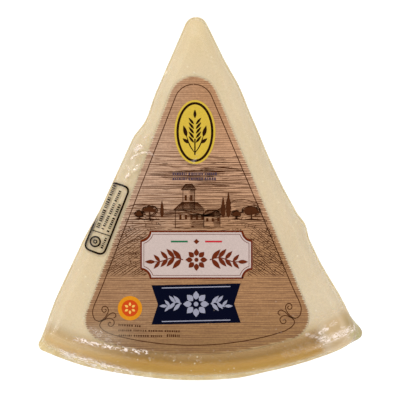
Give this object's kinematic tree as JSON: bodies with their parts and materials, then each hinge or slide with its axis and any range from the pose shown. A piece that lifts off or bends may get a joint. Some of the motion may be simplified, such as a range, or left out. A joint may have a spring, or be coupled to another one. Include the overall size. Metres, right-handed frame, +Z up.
{
  "type": "cheese wedge in a vacuum pack",
  "caption": "Flat wedge of hard, pale cheese with a golden rind along its curved end, sealed in tight clear film with a printed kraft-look label field on top.",
  "frame": {"origin": "middle of the footprint, on the surface the pack lies on", "axes": "+Z up out of the printed side, +Y toward the tip of the wedge, the curved rind end toward -Y"},
  "size_m": [0.1717, 0.1918, 0.0512],
  "materials": {
    "film_over_cheese": "tight clear vacuum film over pale straw cheese, gently crinkled",
    "kraft_print": "brown kraft-look ink with fine cross ribs, under film gloss",
    "yellow_print": "opaque yellow ink under film gloss",
    "cream_print": "opaque cream ink under film gloss",
    "navy_print": "opaque navy ink under film gloss",
    "amber_print": "opaque amber ink under film gloss"
  },
  "bodies": {
    "root": {"film_pack": "film_over_cheese", "label_field": "kraft_print", "badge_field": "yellow_print", "banner_field": "cream_print", "ribbon_field": "navy_print", "seal_field": "amber_print"}
  },
  "joints": []
}
